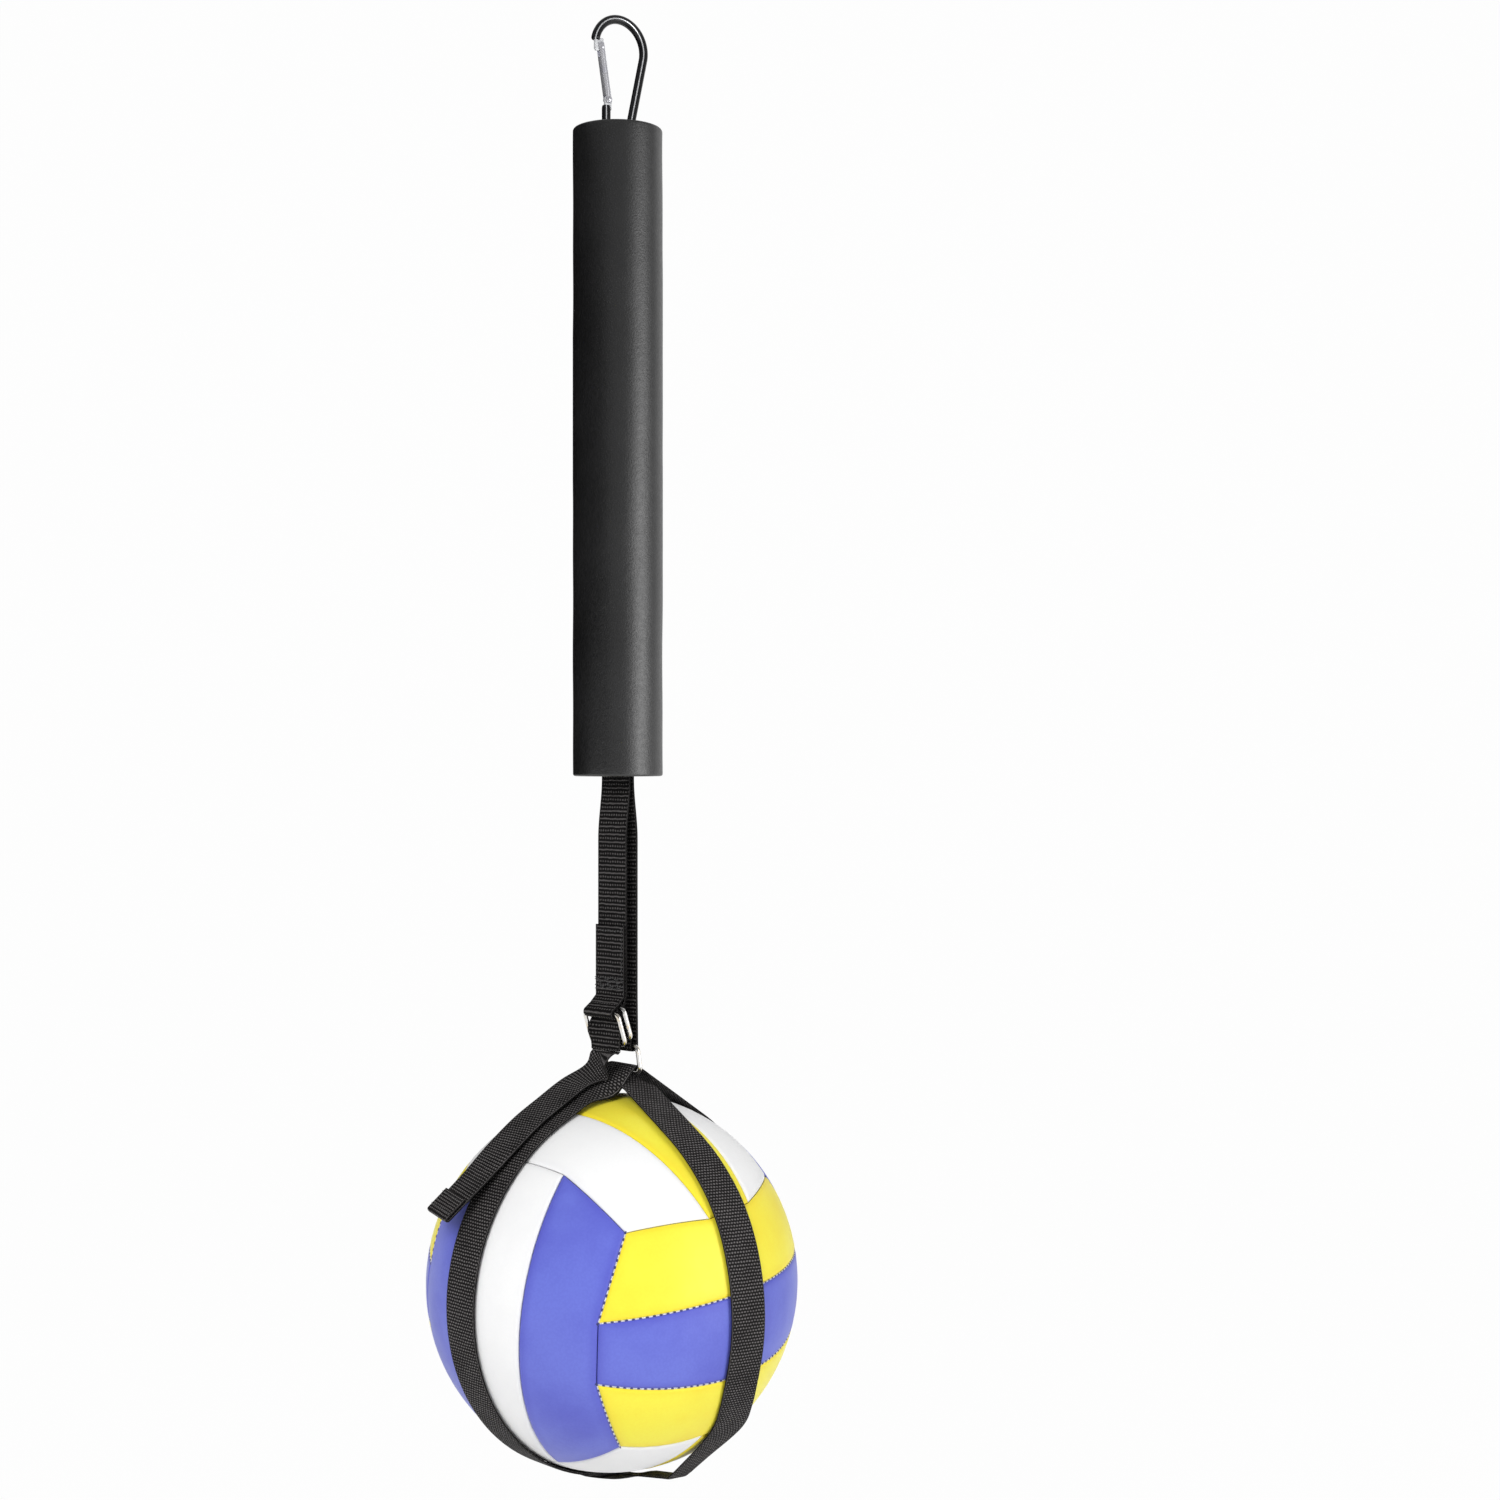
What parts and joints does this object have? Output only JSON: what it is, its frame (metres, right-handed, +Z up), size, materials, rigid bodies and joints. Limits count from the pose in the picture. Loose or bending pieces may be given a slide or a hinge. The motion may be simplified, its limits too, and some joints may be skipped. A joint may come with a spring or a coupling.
{
  "type": "volleyball spike trainer",
  "caption": "Hanging volleyball spike trainer: carabiner, foam sleeve over a webbing strap, cinch buckle and a strap harness holding a panelled ball.",
  "frame": {"origin": "inside top of the carabiner's hook, where a rim bears", "axes": "+Z up along the hanging strap; -Y towards the viewer; +X to the viewer's right"},
  "size_m": [0.2096, 0.2086, 0.8276],
  "materials": {
    "black_metal": "glossy black anodised rod with bright grooves",
    "bright_steel": "smooth bright metal",
    "nickel_wire": "nickel plated wire",
    "foam": "satin charcoal foam",
    "webbing": "ribbed near-black polyester webbing",
    "blue_cover": "soft semi-gloss synthetic leather",
    "white_cover": "soft semi-gloss synthetic leather",
    "yellow_cover": "soft semi-gloss synthetic leather",
    "bladder_rubber": "matt rubber"
  },
  "bodies": {
    "carabiner": {"carabiner_body": "black_metal", "gate_rivet": "bright_steel"},
    "gate": {"carabiner_gate": "bright_steel", "gate_latch_pin": "bright_steel", "gate_spring": "bright_steel", "gate_plunger": "bright_steel"},
    "strap": {"hanging_strap": "webbing", "buckle_ring_inner": "nickel_wire", "buckle_ring_outer": "nickel_wire"},
    "sleeve": {"foam_sleeve": "foam"},
    "ring": {"harness_ring": "nickel_wire"},
    "harness": {"harness_upper_strap": "webbing", "harness_cross_strap": "webbing", "strap_tail": "webbing"},
    "ball": {"panel_left_1": "blue_cover", "panel_left_2": "white_cover", "panel_left_3": "blue_cover", "panel_right_1": "yellow_cover", "panel_right_2": "blue_cover", "panel_right_3": "yellow_cover", "panel_top_1": "white_cover", "panel_top_2": "yellow_cover", "panel_top_3": "white_cover", "panel_left_opposite_1": "blue_cover", "panel_left_opposite_2": "white_cover", "panel_left_opposite_3": "blue_cover", "panel_right_opposite_1": "yellow_cover", "panel_right_opposite_2": "blue_cover", "panel_right_opposite_3": "yellow_cover", "panel_bottom_1": "white_cover", "panel_bottom_2": "yellow_cover", "panel_bottom_3": "white_cover", "ball_bladder": "bladder_rubber", "ball_valve": "bladder_rubber"}
  },
  "joints": [
    {"name": "gate_hinge", "type": "hinge", "parent": "carabiner", "child": "gate", "pos_m": [-0.00552, -0.00431, -0.0442], "axis": [-0.6157, 0.788, 0], "range_deg": [0, 28], "stiffness_Nm_per_rad": 0.006, "springref_deg": -20.05},
    {"name": "strap_pivot", "type": "hinge", "parent": "carabiner", "child": "strap", "pos_m": [0, 0, -0.0665], "axis": [0.788, 0.6157, 0], "range_deg": [-35, 35]},
    {"name": "sleeve_slide", "type": "slide", "parent": "strap", "child": "sleeve", "axis": [0, 0, -1], "range_m": [0, 0.08]},
    {"name": "ring_swing", "type": "hinge", "parent": "strap", "child": "ring", "pos_m": [0.00131, 0.00126, -0.5792], "axis": [0.6947, -0.7193, 0], "range_deg": [-20, 20]},
    {"name": "harness_swing", "type": "hinge", "parent": "ring", "child": "harness", "pos_m": [0.00312, 0.00301, -0.59348], "axis": [0.6947, -0.7193, 0], "range_deg": [-35, 35], "deforming": ["strap_tail"]},
    {"name": "ball_turn", "type": "hinge", "parent": "harness", "child": "ball", "pos_m": [-0.003, 0, -0.7125], "axis": [0, 0, 1], "continuous": true}
  ]
}
